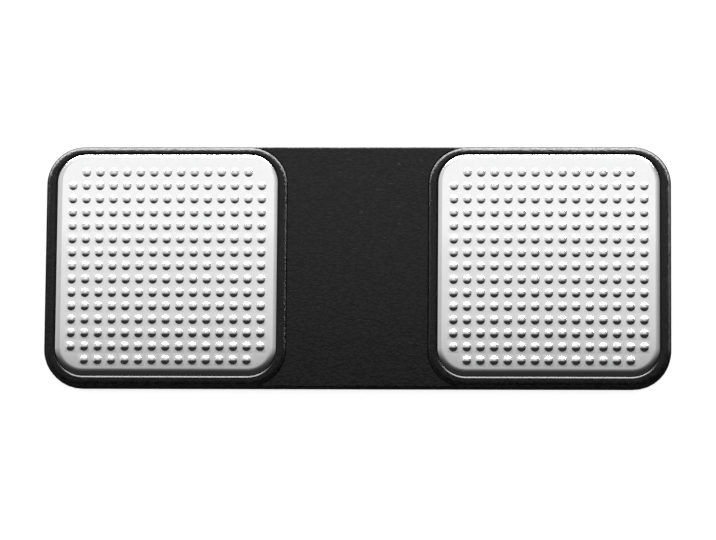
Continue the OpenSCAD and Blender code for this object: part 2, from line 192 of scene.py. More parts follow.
# %% The outline of one bump
# A bump is the top of a ball, with a small fillet where it leaves the flat sheet.
drop = BALL_RADIUS - BUMP_HEIGHT
FOOT = math.sqrt((BALL_RADIUS + BUMP_FILLET) ** 2 - (drop + BUMP_FILLET) ** 2)
lean = math.asin(FOOT / (BALL_RADIUS + BUMP_FILLET))
half_lean = lean / 2
DOME_RINGS = [(FOOT - BUMP_FILLET * math.sin(half_lean), BUMP_FILLET * (1 - math.cos(half_lean)))]
# Each ring of the ball lies at a share of the lean that its edge has.
for share in (1, 0.62, 0.3):
    angle = lean * share
    DOME_RINGS.append((BALL_RADIUS * math.sin(angle), BALL_RADIUS * math.cos(angle) - drop))
print("a bump is", round(2 * FOOT / MM, 2), "mm across its foot")


# %% One tile of the sheet
DOME_POINTS = 12


def sheet_tile():
    """A square of the sheet round the origin, with a bump in it."""
    bm = bmesh.new()
    turn = Matrix.Rotation(math.pi / DOME_POINTS, 4, "Z")
    circle = bmesh.ops.create_circle(bm, cap_ends=False, segments=DOME_POINTS, radius=FOOT,
                                     matrix=turn)
    ring = circle["verts"]
    edges = list(bm.edges)
    bmesh.ops.extrude_edge_only(bm, edges=edges)
    for vert in bm.verts:
        if vert not in ring:
            vert.co *= BUMP_PITCH / 2 / max(abs(vert.co.x), abs(vert.co.y))
    for radius, height in DOME_RINGS:
        grown = bmesh.ops.extrude_edge_only(bm, edges=edges)["geom"]
        ring = [item for item in grown if isinstance(item, bmesh.types.BMVert)]
        edges = [item for item in grown if isinstance(item, bmesh.types.BMEdge)
                 and all(vert in ring for vert in item.verts)]
        for vert in ring:
            flat = Vector((vert.co.x, vert.co.y, 0)).normalized() * radius
            vert.co = (flat.x, flat.y, height)
    cap = bmesh.ops.contextual_create(bm, geom=edges)["faces"]
    bmesh.ops.poke(bm, faces=cap)["verts"][0].co.z = BUMP_HEIGHT
    tile = bpy.data.meshes.new("tile")
    bm.to_mesh(tile)
    bm.free()
    return tile


tile = sheet_tile()
print("a tile has", len(tile.polygons), "faces")


# %% Rows of tiles
def repeat(meshes, step):
    """One mesh with copies side by side, centred, each a step from the last."""
    bm = bmesh.new()
    for number, mesh in enumerate(meshes):
        count = len(bm.verts)
        bm.from_mesh(mesh)
        bm.verts.ensure_lookup_table()
        bmesh.ops.translate(bm, vec=step * (number - (len(meshes) - 1) / 2), verts=bm.verts[count:])
    bmesh.ops.remove_doubles(bm, verts=bm.verts, dist=1e-6)
    together = bpy.data.meshes.new("tiles")
    bm.to_mesh(together)
    bm.free()
    return together


along_x = Vector((BUMP_PITCH, 0, 0))
along_y = Vector((0, BUMP_PITCH, 0))
full_row = repeat([tile] * COLUMNS, along_x)
end_row = repeat([tile] * (COLUMNS - 2), along_x)
bumped_sheet = repeat([end_row] + [full_row] * (ROWS - 2) + [end_row], along_y)
print("the bumped sheet has", len(bumped_sheet.polygons), "faces")


# %% A whole pad
def make_pad(name, node):
    """One pad in its node's place: the sheet, its rolled edge and the underside within its lip."""
    bm = bmesh.new()
    bm.from_mesh(bumped_sheet)
    bmesh.ops.translate(bm, vec=(0, -PAD_Y, FACE_Z), verts=bm.verts)
    inner_rim = [edge for edge in bm.edges if edge.is_boundary]

    face = rounded_plate(bm, PAD_LENGTH, PAD_WIDTH, PAD_CORNER, pad_low.z)
    face = raise_wall(bm, face, FACE_Z - ROLL_RISE - pad_low.z)
    turn_over(bm, face, ROLL_RADIUS, ROLL_START, 90, ROLL_STEPS)
    outer_rim = list(face.edges)
    bmesh.ops.delete(bm, geom=[face], context="FACES_ONLY")
    bmesh.ops.triangle_fill(bm, edges=inner_rim + outer_rim, use_beauty=True)

    face = rounded_plate(bm, PAD_LENGTH, PAD_WIDTH, PAD_CORNER, pad_low.z)
    step_in(bm, face, LIP, 0)
    step_in(bm, face, SHEET, FACE_Z - SHEET - pad_low.z)
    low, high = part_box(node)
    bmesh.ops.translate(bm, vec=((low.x + high.x) / 2, PAD_Y, 0), verts=bm.verts)
    pad = as_object(name, bm)
    smooth(pad, degrees=50)
    even_out_normals(pad)
    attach(pad, "housing")
    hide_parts(node)
    return pad


left_pad = make_pad("left_pad", "left_electrode")
right_pad = make_pad("right_pad", "right_electrode")
print("each pad has", len(left_pad.data.polygons), "faces")

# %% [markdown]
# ## The front moulding
# The front is one moulding: a low middle with tight edges, and a raised end round each
# pad with round corners and a soft shoulder. It could be one grid pushed into shape,
# but its many flat faces and true arcs are easier as simple solids, the way a mould
# maker cuts them: blocks are joined, and the pockets and the space inside are cut out
# with exact Booleans.

# %% Sizes of the shells
front_low, front_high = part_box("front_housing")
BODY_LENGTH, BODY_WIDTH = front_high.x - front_low.x, front_high.y - front_low.y
PARTING_Z = front_low.z
RIM_Z = front_high.z
PANEL_STEP = 0.25 * MM
PANEL_Z = RIM_Z - PANEL_STEP
CORNER = 5 * MM
SHOULDER = 0.8 * MM
SIDE_WALL = 1 * MM
PAD_GAP = 0.1 * MM
PANEL_HALF = 9.15 * MM
TIGHT_CORNER = 0.2 * MM
# how far a cutter reaches beyond what it cuts
OVER = 1 * MM
ABOVE = 0.5 * MM
print("shell heights in mm:", [round(z / MM, 2) for z in (PARTING_Z, PANEL_Z, RIM_Z)])


# %% Solids to join and cut
def block(name, length, width, radius, low, high, middle=(0, 0), steps=24):
    """A straight block with a rounded outline, as an object."""
    bm = bmesh.new()
    face = rounded_plate(bm, length, width, radius, low, steps)
    # This copy of the face stays behind and closes the solid, here and below.
    face.copy()
    raise_wall(bm, face, high - low)
    bmesh.ops.translate(bm, vec=(middle[0], middle[1], 0), verts=bm.verts)
    return as_object(name, bm)


def moulded_end(name, middle_x, length):
    """A raised end, with its soft shoulder."""
    bm = bmesh.new()
    face = rounded_plate(bm, length, BODY_WIDTH, CORNER, PARTING_Z, corner_steps=24)
    face.copy()
    face = raise_wall(bm, face, RIM_Z - SHOULDER - PARTING_Z)
    turn_over(bm, face, SHOULDER, 0, 90, steps=12)
    bmesh.ops.translate(bm, vec=(middle_x, 0, 0), verts=bm.verts)
    return as_object(name, bm)


def cut(piece, other, operation="DIFFERENCE"):
    """Applies an exact Boolean to the piece and removes the other solid."""
    change = piece.modifiers.new("cut", "BOOLEAN")
    change.operation = operation
    change.solver = "EXACT"
    change.object = other
    bpy.context.view_layer.update()
    shaped = bpy.data.meshes.new_from_object(piece.evaluated_get(bpy.context.evaluated_depsgraph_get()))
    piece.modifiers.clear()
    piece.data = shaped
    bpy.data.objects.remove(other)


# %% [markdown]
# The middle's tight long edges have to run out under the raised ends' wider shoulders.
# So the middle is drawn in a little at both ends. A plate whose corners are cut off at
# 45 degrees does it, if it is made very wide first and then squeezed to its width.

# %% The low middle
MIDDLE_EDGE = 0.25 * MM
MIDDLE_REACH = PANEL_HALF + CORNER + SHOULDER
RUN_OUT = 2.4 * MM
DRAWN_IN = 0.24 * MM


def middle_block():
    """The low middle, its long edges rounded and drawn in towards both ends."""
    bm = bmesh.new()
    stretch = RUN_OUT / DRAWN_IN
    face = rounded_plate(bm, 2 * MIDDLE_REACH, BODY_WIDTH * stretch, RUN_OUT, PARTING_Z,
                         corner_steps=1)
    bmesh.ops.scale(bm, vec=(1, 1 / stretch, 1), verts=bm.verts)
    face.copy()
    face = raise_wall(bm, face, PANEL_Z - MIDDLE_EDGE - PARTING_Z)
    turn_over(bm, face, MIDDLE_EDGE, 0, 90, steps=6)
    return as_object("middle", bm)


# %% Join the blocks, with a fine groove where each raised end begins
GROOVE_DEPTH = 0.18 * MM
GROOVE_INSET = 0.02 * MM
end_length = BODY_LENGTH / 2 - PANEL_HALF
end_middle = PANEL_HALF + end_length / 2
front = middle_block()
for side in (-1, 1):
    groove = block("groove", end_length - 2 * GROOVE_INSET, BODY_WIDTH - 2 * GROOVE_INSET,
                   CORNER - GROOVE_INSET, PANEL_Z - GROOVE_DEPTH, RIM_Z + OVER, (side * end_middle, 0))
    cut(front, groove)
front.name = "front_shell"
belt = block("belt", 2 * MIDDLE_REACH, BODY_WIDTH, TIGHT_CORNER, PARTING_Z, RIM_Z - SHOULDER, steps=1)
cut(front, belt, "UNION")
for side in (-1, 1):
    cut(front, moulded_end("end", side * end_middle, end_length), "UNION")
print("joined front has", len(front.data.polygons), "faces")

# %% [markdown]
# A moulded edge is never knife sharp. The pocket's cutter opens out at its mouth, so
# that each rim falls into the pocket over a small chamfer. Below each pad that chamfer
# faces the light behind, and shows as a bright line.

# %% Cut the pockets
MOUTH_LEAN = 33
MOUTH_SLOPE = 0.18 * MM
MOUTH_ARC = 0.05 * MM
MOUTH = MOUTH_SLOPE + MOUTH_ARC
MOUTH_FALL = MOUTH_SLOPE * math.tan(math.radians(MOUTH_LEAN))
MOUTH_DROP = MOUTH_FALL + MOUTH_ARC * (2 - math.cos(math.radians(MOUTH_LEAN)))
pocket_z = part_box("left_electrode_bond")[0].z


def pocket_cutter(middle_x):
    """What a pad's pocket takes away, wider at its mouth."""
    bm = bmesh.new()
    grow = PAD_GAP + MOUTH
    face = rounded_plate(bm, PAD_LENGTH + 2 * grow, PAD_WIDTH + 2 * grow, PAD_CORNER + grow,
                         RIM_Z + ABOVE)
    face.copy()
    face = raise_wall(bm, face, -ABOVE)
    lift_off(bm, face, MOUTH_ARC, MOUTH_LEAN, steps=3, way=-1)
    step_in(bm, face, MOUTH_SLOPE, -MOUTH_FALL)
    step_in(bm, face, MOUTH_ARC * (1 - math.sin(math.radians(MOUTH_LEAN))), -MOUTH_ARC)
    raise_wall(bm, face, pocket_z - (RIM_Z - MOUTH_DROP))
    bmesh.ops.translate(bm, vec=(middle_x, PAD_Y, 0), verts=bm.verts)
    return as_object("pocket", bm)


pad_middle = -(pad_high.x + pad_low.x) / 2
for side in (-1, 1):
    cut(front, pocket_cutter(side * pad_middle))
print("front with pockets has", len(front.data.polygons), "faces")

# %% [markdown]
# Inside, the moulding is a thin shell. Its room is shallow under the pads' pockets and
# goes deeper between them, where the coin cell lies. A rebate round its mouth takes the
# back's lip, and a window in each pocket lets a contact spring through to the pad. The
# Solidify modifier could give a wall of one thickness, but here each wall has its own.

# %% Hollow the moulding
CELL_RADIUS = 10 * MM
CELL_PLAY = 0.4 * MM
POCKET_WALL = 0.45 * MM
LIP_ROOM = 0.45 * MM
WINDOW_GAP = 0.47 * MM
inner_length = BODY_LENGTH - 2 * SIDE_WALL
inner_width = BODY_WIDTH - 2 * SIDE_WALL
ceiling_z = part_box("battery_negative_contact")[1].z
below = PARTING_Z - ABOVE
cut(front, block("room", inner_length, inner_width, CORNER - SIDE_WALL, below, pocket_z - POCKET_WALL))
cut(front, block("cell_room", 2 * CELL_RADIUS + CELL_PLAY, inner_width, CORNER - SIDE_WALL, below,
                 ceiling_z))
cut(front, block("rebate", inner_length + SIDE_WALL, inner_width + SIDE_WALL, CORNER - SIDE_WALL / 2,
                 below, PARTING_Z + LIP_ROOM))
for spring in ("left_contact_spring", "right_contact_spring"):
    low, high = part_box(spring)
    cut(front, block("window", high.x - low.x + 2 * WINDOW_GAP, high.y - low.y + 2 * WINDOW_GAP,
                     TIGHT_CORNER, below, RIM_Z, ((low.x + high.x) / 2, 0)))
print("hollow front has", len(front.data.polygons), "faces")

# %% [markdown]
# The board sits on eight pegs of the back. Collars that hang from the front's ceiling
# press on it round those pegs. Each is a block with full round corners and a bore.

# %% Collars inside, which hold the board down round its pegs
PEG_HOLE = 0.7 * MM
COLLAR = 1.3 * MM
PEG_PLACES = [x * MM for x in (-36.5, -16.55, 16.55, 36.5)]
PEG_INSET = 4.2 * MM
OVERLAP = 0.1 * MM
# a corner radius of exactly half the width would make the corner arcs meet
ALMOST_ROUND = 0.999
board_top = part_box("circuit_board")[1].z
roof_z = pocket_z - POCKET_WALL
for peg_x in PEG_PLACES:
    for side in (-1, 1):
        place = (peg_x, side * (BODY_WIDTH / 2 - PEG_INSET))
        collar = block("collar", 2 * COLLAR, 2 * COLLAR, COLLAR * ALMOST_ROUND, board_top,
                       roof_z + OVERLAP, place, steps=10)
        cut(collar, block("bore", 2 * PEG_HOLE, 2 * PEG_HOLE, PEG_HOLE * ALMOST_ROUND, below,
                          roof_z, place, steps=8))
        cut(front, collar, "UNION")
print(2 * len(PEG_PLACES), "collars, from", round(board_top / MM, 2), "to", round(roof_z / MM, 2), "mm")

# %% [markdown]
# Where two mouldings meet, the gap between them shows as a thin dark line. A bump in the
# material could draw it, but a cut is right from every side.

# %% The parting line
SEAM = 0.07 * MM
seam = block("seam", BODY_LENGTH + OVER, BODY_WIDTH + OVER, CORNER, below, PARTING_Z + SEAM)
cut(seam, block("core", BODY_LENGTH - 2 * SEAM, BODY_WIDTH - 2 * SEAM, CORNER - SEAM, below - OVER,
                RIM_Z))
cut(front, seam)
smooth(front, degrees=30)
even_out_normals(front)
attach(front, "housing")
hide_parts("front_housing")
print("front shell has", len(front.data.polygons), "faces")

# %% [markdown]
# ## Finishes
# Every pattern here is drawn in millimetres on the Object coordinates, so that a grain
# keeps its real size on each piece.

# %% Helpers for materials
def new_material(name):
    """A material with its nodes, its links and its shader."""
    material = bpy.data.materials.new(name)
    material.use_nodes = True
    nodes = material.node_tree.nodes
    return material, nodes, material.node_tree.links, nodes["Principled BSDF"]


def millimetres(nodes, links, stretch=(1, 1, 1)):
    """Object coordinates in millimetres, squeezed along each axis by stretch."""
    where = nodes.new("ShaderNodeTexCoord")
    scale = nodes.new("ShaderNodeMapping")
    scale.inputs["Scale"].default_value = [1000 * s for s in stretch]
    links.new(where.outputs["Object"], scale.inputs["Vector"])
    return scale.outputs["Vector"]


def noise(nodes, links, vector, scale, detail=3):
    """Cloudy patches, about so many to the unit of the vector."""
    texture = nodes.new("ShaderNodeTexNoise")
    texture.inputs["Scale"].default_value = scale
    texture.inputs["Detail"].default_value = detail
    links.new(vector, texture.inputs["Vector"])
    return texture.outputs["Fac"]


def remap(nodes, links, value, low, high, start=0, end=1):
    """Maps value from start..end to low..high."""
    change = nodes.new("ShaderNodeMapRange")
    change.inputs["From Min"].default_value = start
    change.inputs["From Max"].default_value = end
    change.inputs["To Min"].default_value = low
    change.inputs["To Max"].default_value = high
    links.new(value, change.inputs["Value"])
    return change.outputs["Result"]


def calculate(nodes, links, operation, first, second):
    """A Math node on two values, each an output or a plain number."""
    node = nodes.new("ShaderNodeMath")
    node.operation = operation
    for socket, value in zip(node.inputs, (first, second)):
        if isinstance(value, (int, float)):
            socket.default_value = value
        else:
            links.new(value, socket)
    return node.outputs["Value"]


def blend(nodes, links, share, first, second):
    """A colour that goes from the first to the second as share goes from 0 to 1."""
    mix = nodes.new("ShaderNodeMix")
    mix.data_type = "RGBA"
    mix.inputs["A"].default_value = (*first, 1)
    mix.inputs["B"].default_value = (*second, 1)
    links.new(share, mix.inputs["Factor"])
    return mix.outputs["Result"]


def levels(nodes, links, value, stops):
    """Straight lines from stop to stop, each a value and its result from 0 to 1."""
    start, end = stops[0][0], stops[-1][0]
    ramp = nodes.new("ShaderNodeValToRGB")
    marks = ramp.color_ramp.elements
    while len(marks) < len(stops):
        marks.new(0.5)
    for mark, (at, level) in zip(marks, stops):
        mark.position = (at - start) / (end - start)
        mark.color = (level, level, level, 1)
    links.new(remap(nodes, links, value, 0, 1, start, end), ramp.inputs["Fac"])
    return ramp.outputs["Color"]


def emboss(nodes, links, height, depth, normal=None):
    """Bump from a height of 0 to 1 that stands for a real depth in metres."""
    bump = nodes.new("ShaderNodeBump")
    bump.inputs["Distance"].default_value = depth
    links.new(height, bump.inputs["Height"])
    if normal is not None:
        links.new(normal, bump.inputs["Normal"])
    return bump.outputs["Normal"]


# %% [markdown]
# ### Satin steel
# The pads are stamped from sheet that was tumbled before, which leaves it evenly satin
# with a faint mottle. A metal has no colour of its own under its shine, so all the
# detail is in the roughness and in a very fine relief.

# %% Satin steel
steel, nodes, links, shader = new_material("satin_steel")
shader.inputs["Metallic"].default_value = 1
place = millimetres(nodes, links)
mottle = noise(nodes, links, place, scale=1.3, detail=4)
grit = noise(nodes, links, place, scale=9, detail=2)
STEEL_DARK = (0.8, 0.8, 0.805)
STEEL_LIGHT = (0.86, 0.86, 0.865)
STEEL_ROUGH = (0.11, 0.16)
GRIT_DEPTH = 0.004 * MM
links.new(blend(nodes, links, mottle, STEEL_DARK, STEEL_LIGHT), shader.inputs["Base Color"])
links.new(remap(nodes, links, mottle, *STEEL_ROUGH), shader.inputs["Roughness"])
links.new(emboss(nodes, links, grit, GRIT_DEPTH), shader.inputs["Normal"])
for pad in (left_pad, right_pad):
    pad.data.materials.append(steel)
print("satin steel, roughness", STEEL_ROUGH, "and grit", GRIT_DEPTH / MM, "mm deep")

# %% [markdown]
# ### Grained plastic
# The mould was etched with a leather grain: small wrinkles that run mostly along the
# bar. The cell edges of a Voronoi pattern, warped by noise and squeezed, look like
# that. On the raised ends the same etching came out finer, but here one grain covers the whole
# moulding.

# %% Grained plastic
front_plastic, nodes, links, shader = new_material("grained_plastic")
FRONT_SHINE = 0.21
# the wrinkles are about twice as long as they are wide
WRINKLE_STRETCH = (0.55, 1, 1)
WRINKLE_SCALE = 1.9
# how far from a cell's edge its furrow reaches, and how high wrinkles are beside the fine grain
FURROW = 0.16
WRINKLE_SHARE = 0.6
WARP_SCALE = 1.6
WARP_SHARE = 0.5
shader.inputs["Specular IOR Level"].default_value = FRONT_SHINE
place = millimetres(nodes, links, WRINKLE_STRETCH)
warp = nodes.new("ShaderNodeTexNoise")
warp.inputs["Scale"].default_value = WARP_SCALE
links.new(place, warp.inputs["Vector"])
bend = nodes.new("ShaderNodeMix")
bend.data_type = "RGBA"
bend.blend_type = "LINEAR_LIGHT"
bend.inputs["Factor"].default_value = WARP_SHARE
links.new(place, bend.inputs["A"])
links.new(warp.outputs["Color"], bend.inputs["B"])
cells = nodes.new("ShaderNodeTexVoronoi")
cells.feature = "DISTANCE_TO_EDGE"
cells.inputs["Scale"].default_value = WRINKLE_SCALE
links.new(bend.outputs["Result"], cells.inputs["Vector"])
wrinkles = remap(nodes, links, cells.outputs["Distance"], 0, 1, start=0, end=FURROW)
fine = noise(nodes, links, place, scale=5, detail=3)
coarse = calculate(nodes, links, "MULTIPLY", wrinkles, WRINKLE_SHARE)
leather = calculate(nodes, links, "ADD", coarse, fine)
# painted shade: the furrows of the grain get the darker tone, standing in for the shade that fills
# their creases
FRONT_FURROW_SHADE = (0.0008, 0.0008, 0.0009)
FRONT_LIGHT = (0.008, 0.008, 0.0082)
FRONT_ROUGH = (0.24, 0.34)
GRAIN_DEPTH = 0.022 * MM
links.new(emboss(nodes, links, leather, GRAIN_DEPTH), shader.inputs["Normal"])
links.new(blend(nodes, links, wrinkles, FRONT_FURROW_SHADE, FRONT_LIGHT), shader.inputs["Base Color"])
links.new(remap(nodes, links, fine, *FRONT_ROUGH), shader.inputs["Roughness"])
front.data.materials.append(front_plastic)
print("grained plastic, roughness", FRONT_ROUGH, "and grain", GRAIN_DEPTH / MM, "mm deep")

# %% [markdown]
# ### Plainer finishes
# The other pieces are hidden inside or underneath. Each of their finishes is a mottle of
# two close tones, with its own grain, shine and relief, stretched along the way that the
# material was rolled, drawn or turned.


# %% A recipe for a plainer finish
FINISHES = {}
# most of the noise lies between these values
PATCH_RANGE = (0.3, 0.7)
RING_DEPTH = 0.003 * MM


def finish(name, dark, light, rough, metallic=0, grain=2.5, relief=0.004, stretch=(1, 1, 1),
           turned_about=None):
    """A mottle from dark to light, kept under its name. Grain is in patches per mm, relief in mm."""
    material, nodes, links, shader = new_material(name)
    shader.inputs["Metallic"].default_value = metallic
    place = millimetres(nodes, links, stretch)
    patches = noise(nodes, links, place, grain, detail=5)
    links.new(blend(nodes, links, patches, dark, light), shader.inputs["Base Color"])
    links.new(remap(nodes, links, patches, *rough, *PATCH_RANGE), shader.inputs["Roughness"])
    normal = emboss(nodes, links, noise(nodes, links, place, 4 * grain), relief * MM)
    if turned_about is not None:
        centred = nodes.new("ShaderNodeVectorMath")
        centred.operation = "SUBTRACT"
        centred.inputs[1].default_value = (1000 * turned_about, 0, 0)
        links.new(millimetres(nodes, links), centred.inputs[0])
        rings = nodes.new("ShaderNodeTexWave")
        rings.wave_type = "RINGS"
        rings.rings_direction = "Z"
        rings.inputs["Scale"].default_value = 2.2
        rings.inputs["Distortion"].default_value = 1.5
        rings.inputs["Detail"].default_value = 3
        links.new(centred.outputs["Vector"], rings.inputs["Vector"])
        normal = emboss(nodes, links, rings.outputs["Fac"], RING_DEPTH, normal)
    links.new(normal, shader.inputs["Normal"])
    FINISHES[name] = material
    return material


# %% The plainer finishes
finish("spark_plastic", (0.0035, 0.0035, 0.0036), (0.008, 0.008, 0.0082), (0.4, 0.56),
       grain=4, relief=0.012)
finish("adhesive", (0.08, 0.08, 0.08), (0.14, 0.14, 0.14), (0.7, 0.85), grain=1.5)
finish("gold_plate", (0.78, 0.56, 0.26), (0.88, 0.68, 0.34), (0.2, 0.32),
       metallic=1, grain=3, stretch=(0.15, 1, 1))
finish("chip_plastic", (0.018, 0.018, 0.019), (0.034, 0.034, 0.035), (0.5, 0.68), grain=7, relief=0.01)
finish("crystal_can", (0.62, 0.62, 0.63), (0.76, 0.76, 0.77), (0.24, 0.36), metallic=1, grain=4)
finish("ferrite", (0.06, 0.06, 0.065), (0.15, 0.15, 0.16), (0.4, 0.6), grain=9, relief=0.02)
finish("capacitor", (0.42, 0.3, 0.18), (0.56, 0.44, 0.29), (0.45, 0.6), grain=6)
finish("resistor", (0.022, 0.022, 0.026), (0.045, 0.045, 0.052), (0.2, 0.35), grain=5)
finish("solder", (0.56, 0.56, 0.55), (0.74, 0.74, 0.73), (0.28, 0.45), metallic=1, grain=5, relief=0.01)
finish("disc_brass", (0.7, 0.52, 0.22), (0.82, 0.64, 0.32), (0.26, 0.38),
       metallic=1, grain=2, stretch=(0.2, 1, 1))
finish("silvered_ceramic", (0.66, 0.65, 0.61), (0.82, 0.81, 0.77), (0.42, 0.58),
       metallic=0.35, grain=5)
finish("cured_glue", (0.5, 0.49, 0.46), (0.66, 0.65, 0.61), (0.25, 0.45), grain=1.2, relief=0.02)
finish("red_lead", (0.42, 0.014, 0.014), (0.56, 0.03, 0.028), (0.26, 0.4), grain=2)
finish("black_lead", (0.014, 0.014, 0.014), (0.03, 0.03, 0.03), (0.26, 0.4), grain=2)
finish("nickel_plate", (0.6, 0.6, 0.59), (0.72, 0.72, 0.71), (0.2, 0.33),
       metallic=1, grain=3, turned_about=0)
finish("seal_plastic", (0.08, 0.08, 0.08), (0.12, 0.12, 0.12), (0.4, 0.55), grain=3)
finish("pressed_powder", (0.025, 0.025, 0.025), (0.08, 0.08, 0.08), (0.8, 0.95), grain=8, relief=0.03)
print(len(FINISHES), "plainer finishes")

# %% [markdown]
# The edge round each pocket is the hard inner edge of the mould, and fingers rub it, so
# it's smoother than the grain beside it. Only those few faces get this finish: the
# sloping ones between the pad's outline and the rim.

# %% The rubbed edge of each pocket
RUBBED_SHINE = 0.22
# how far a sloping face's normal points up, from the least to the most
SLOPES = (0.7, 0.999)
rubbed_edge = finish("rubbed_edge", (0.001, 0.001, 0.0011), (0.006, 0.006, 0.0062), (0.16, 0.26),
                     relief=0.001)
rubbed_shader = rubbed_edge.node_tree.nodes["Principled BSDF"]
rubbed_shader.inputs["Specular IOR Level"].default_value = RUBBED_SHINE
front.data.materials.append(rubbed_edge)
rubbed = 0
for face in front.data.polygons:
    across = abs(abs(face.center.x) - pad_middle) - PAD_LENGTH / 2 + PAD_CORNER
    up = abs(face.center.y - PAD_Y) - PAD_WIDTH / 2 + PAD_CORNER
    outside = math.hypot(max(across, 0), max(up, 0)) - PAD_CORNER
    sloping = face.center.z > RIM_Z - MOUTH_DROP and SLOPES[0] < face.normal.z < SLOPES[1]
    if sloping and outside < PAD_GAP + MOUTH:
        face.material_index = 1
        rubbed += 1
print(rubbed, "faces of rubbed edge")

# %% [markdown]
# ### Solder mask
# A board is glass cloth with copper tracks, under a coat of green lacquer. Over a track
# the lacquer looks lighter and stands a little higher. The joints of a brick pattern
# are straight and meet at right angles, as tracks do.

# %% Solder mask
solder_mask, nodes, links, shader = new_material("solder_mask")
place = millimetres(nodes, links)
tracks = nodes.new("ShaderNodeTexBrick")
tracks.offset = 0.37
tracks.squash = 1.6
TRACK_SIZES = {"Scale": 1, "Mortar Size": 0.09, "Mortar Smooth": 0.1, "Brick Width": 2.9,
               "Row Height": 0.83}
for socket, value in TRACK_SIZES.items():
    tracks.inputs[socket].default_value = value
links.new(place, tracks.inputs["Vector"])
weave = noise(nodes, links, place, scale=3.5)
lines = calculate(nodes, links, "MULTIPLY", tracks.outputs["Fac"], 0.75)
cloth = calculate(nodes, links, "MULTIPLY", weave, 0.25)
copper = calculate(nodes, links, "ADD", lines, cloth)
lacquer = blend(nodes, links, copper, (0.006, 0.075, 0.026), (0.02, 0.17, 0.06))
links.new(lacquer, shader.inputs["Base Color"])
links.new(remap(nodes, links, weave, 0.22, 0.36), shader.inputs["Roughness"])
links.new(emboss(nodes, links, copper, 0.02 * MM), shader.inputs["Normal"])
FINISHES["solder_mask"] = solder_mask
print("solder mask, over tracks", TRACK_SIZES["Row Height"], "mm apart")

# %% [markdown]
# ## The rear moulding, the door and the parts inside
# Their sizes are all in the CAD model already, so each is a copy of its node: the facets
# of a flat face are merged, the arcs are shaded round, and the edges that a mould or a
# punch leaves soft are eased. Building each again would only repeat the numbers.


# %% A copy of a CAD node with eased edges
# in degrees: faces that turn by less are one, edges that turn by more are eased or stay sharp
FLAT = 0.5
EASED = 60
SHARP = 32


def dressed_copy(node, body, slot, material, ease=0):
    """Ease is the width in mm of the small bevel on the sharp edges."""
    bm = bmesh.new()
    bm.from_mesh(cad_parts[node].data)
    bmesh.ops.remove_doubles(bm, verts=bm.verts, dist=1e-7)
    bmesh.ops.dissolve_limit(bm, angle_limit=math.radians(FLAT), verts=bm.verts, edges=bm.edges)
    if ease:
        corner = math.radians(EASED)
        edges = [edge for edge in bm.edges if abs(edge.calc_face_angle_signed(0)) > corner]
        bmesh.ops.bevel(bm, geom=edges, offset=ease * MM, offset_type="OFFSET", segments=2, profile=0.5,
                        affect="EDGES", clamp_overlap=True, material=-1)
    piece = as_object("dressed_" + node, bm)
    piece.data.materials.clear()
    piece.data.materials.append(FINISHES[material])
    smooth(piece, SHARP)
    even_out_normals(piece)
    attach(piece, body)
    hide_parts(node)
    return piece


# %% Dress every other node
DRESSED = [
    ("rear_cover", "housing", "rear_plastic", "spark_plastic", 0),
    ("battery_door", "battery_door", "door_plastic", "spark_plastic", 0),
    ("left_electrode_bond", "housing", "adhesive", "adhesive", 0),
    ("right_electrode_bond", "housing", "adhesive", "adhesive", 0),
    ("left_contact_spring", "housing", "contact_brass", "gold_plate", 0),
    ("right_contact_spring", "housing", "contact_brass", "gold_plate", 0),
    ("circuit_board", "housing", "board", "solder_mask", 0),
    ("microcontroller", "housing", "chip_plastic", "chip_plastic", 0.08),
    ("amplifier_chip", "housing", "chip_plastic", "chip_plastic", 0.08),
    ("crystal", "housing", "crystal_can", "crystal_can", 0.12),
    ("boost_inductor", "housing", "inductor", "ferrite", 0.12),
    ("board_capacitors", "housing", "capacitor", "capacitor", 0.05),
    ("board_resistors", "housing", "resistor", "resistor", 0.03),
    ("piezo_disc", "housing", "disc_brass", "disc_brass", 0),
    ("piezo_ceramic", "housing", "ceramic", "silvered_ceramic", 0),
    ("piezo_glue_ring", "housing", "glue", "cured_glue", 0),
    ("piezo_signal_lead", "housing", "red_lead", "red_lead", 0),
    ("piezo_ground_lead", "housing", "black_lead", "black_lead", 0),
    ("battery_positive_contact", "housing", "contact_brass", "gold_plate", 0),
    ("battery_negative_contact", "housing", "contact_brass", "gold_plate", 0),
    ("coin_cell_can", "coin_cell", "cell_steel", "nickel_plate", 0),
    ("coin_cell_cap", "coin_cell", "cell_steel", "nickel_plate", 0),
    ("coin_cell_seal", "coin_cell", "cell_seal", "seal_plastic", 0),
    ("coin_cell_core", "coin_cell", "cell_core", "pressed_powder", 0),
]
dressed = {row[0]: dressed_copy(*row) for row in DRESSED}
print("dressed", len(dressed), "nodes")

# %% [markdown]
# A chip resistor or capacitor has a metal cap at each end, which the solder wets. Each
# part is cut at about a quarter of its length from either end, and the faces beyond the
# cuts get the solder finish.

